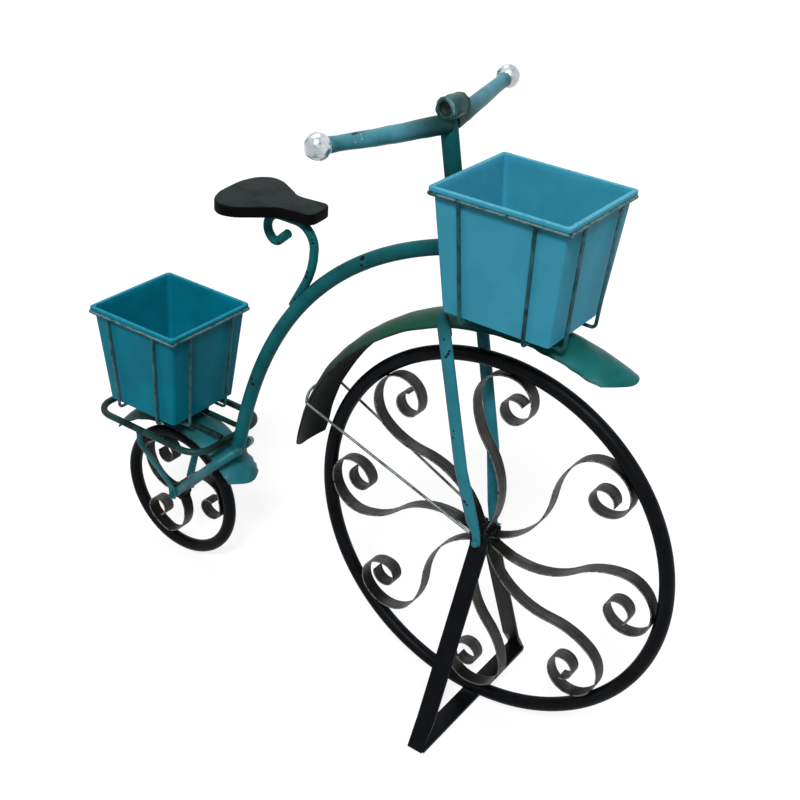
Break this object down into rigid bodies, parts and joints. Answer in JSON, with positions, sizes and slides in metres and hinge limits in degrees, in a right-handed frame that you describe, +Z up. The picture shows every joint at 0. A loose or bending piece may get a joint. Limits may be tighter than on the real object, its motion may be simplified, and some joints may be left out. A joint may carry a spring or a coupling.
{
  "type": "penny-farthing planter",
  "caption": "Penny-farthing plant stand in distressed painted steel: scroll-spoked wheels that turn, wire baskets and square lift-out pots.",
  "frame": {"origin": "on the ground, under the middle of the whole length, in the plane of both wheels", "axes": "+X to the bicycle's front, +Y to its left, +Z up"},
  "size_m": [0.9064, 0.41, 0.8232],
  "materials": {
    "teal_paint": "satin",
    "pot_paint": "satin",
    "dark_green_paint": "satin",
    "black_paint": "satin",
    "burnished_steel": "satin",
    "bare_steel": "polished",
    "saddle_board": "matte"
  },
  "bodies": {
    "frame": {"backbone_tube": "teal_paint", "fender_stay_wire": "bare_steel", "fork_leg_left": "teal_paint", "fork_leg_right": "teal_paint", "front_axle_bolt": "burnished_steel", "front_axle_nut": "burnished_steel", "front_basket_ring": "dark_green_paint", "front_basket_wire_1": "dark_green_paint", "front_basket_wire_2": "dark_green_paint", "front_basket_wire_3": "dark_green_paint", "front_basket_wire_4": "dark_green_paint", "front_fender": "dark_green_paint", "handlebar_ball_left": "bare_steel", "handlebar_ball_right": "bare_steel", "handlebar_left": "teal_paint", "handlebar_right": "teal_paint", "rack_rail_left": "dark_green_paint", "rack_rail_right": "dark_green_paint", "rack_ring": "dark_green_paint", "rack_stay_left": "dark_green_paint", "rack_stay_right": "dark_green_paint", "rear_axle_bolt": "burnished_steel", "rear_axle_nut": "burnished_steel", "rear_basket_ring": "dark_green_paint", "rear_basket_wire_1": "dark_green_paint", "rear_basket_wire_2": "dark_green_paint", "rear_basket_wire_3": "dark_green_paint", "rear_basket_wire_4": "dark_green_paint", "rear_fender": "teal_paint", "rear_stay_left": "teal_paint", "rear_stay_right": "teal_paint", "saddle": "saddle_board", "seat_bar": "teal_paint", "stand_foot_bar": "black_paint", "stand_leg_left": "black_paint", "stand_leg_right": "black_paint", "stem": "teal_paint", "stem_sleeve": "teal_paint"},
    "front_wheel": {"front_hub": "black_paint", "front_rim": "black_paint", "front_scroll_1": "burnished_steel", "front_scroll_2": "burnished_steel", "front_scroll_3": "burnished_steel", "front_scroll_4": "burnished_steel", "front_scroll_5": "burnished_steel", "front_scroll_6": "burnished_steel", "front_scroll_7": "burnished_steel", "front_scroll_8": "burnished_steel"},
    "rear_wheel": {"rear_hub": "black_paint", "rear_rim": "black_paint", "rear_scroll_1": "burnished_steel", "rear_scroll_2": "burnished_steel", "rear_scroll_3": "burnished_steel"},
    "front_pot": {"front_pot": "pot_paint"},
    "rear_pot": {"rear_pot": "pot_paint"}
  },
  "joints": [
    {"name": "front_wheel_spin", "type": "hinge", "parent": "frame", "child": "front_wheel", "pos_m": [0.19365, 0, 0.2725], "axis": [0, 1, 0], "continuous": true},
    {"name": "rear_wheel_spin", "type": "hinge", "parent": "frame", "child": "rear_wheel", "pos_m": [-0.33935, 0, 0.1075], "axis": [0, 1, 0], "continuous": true},
    {"name": "front_pot_lift", "type": "slide", "parent": "frame", "child": "front_pot", "axis": [0, 0, 1], "range_m": [0, 0.16]},
    {"name": "rear_pot_lift", "type": "slide", "parent": "frame", "child": "rear_pot", "axis": [0, 0, 1], "range_m": [0, 0.16]}
  ]
}
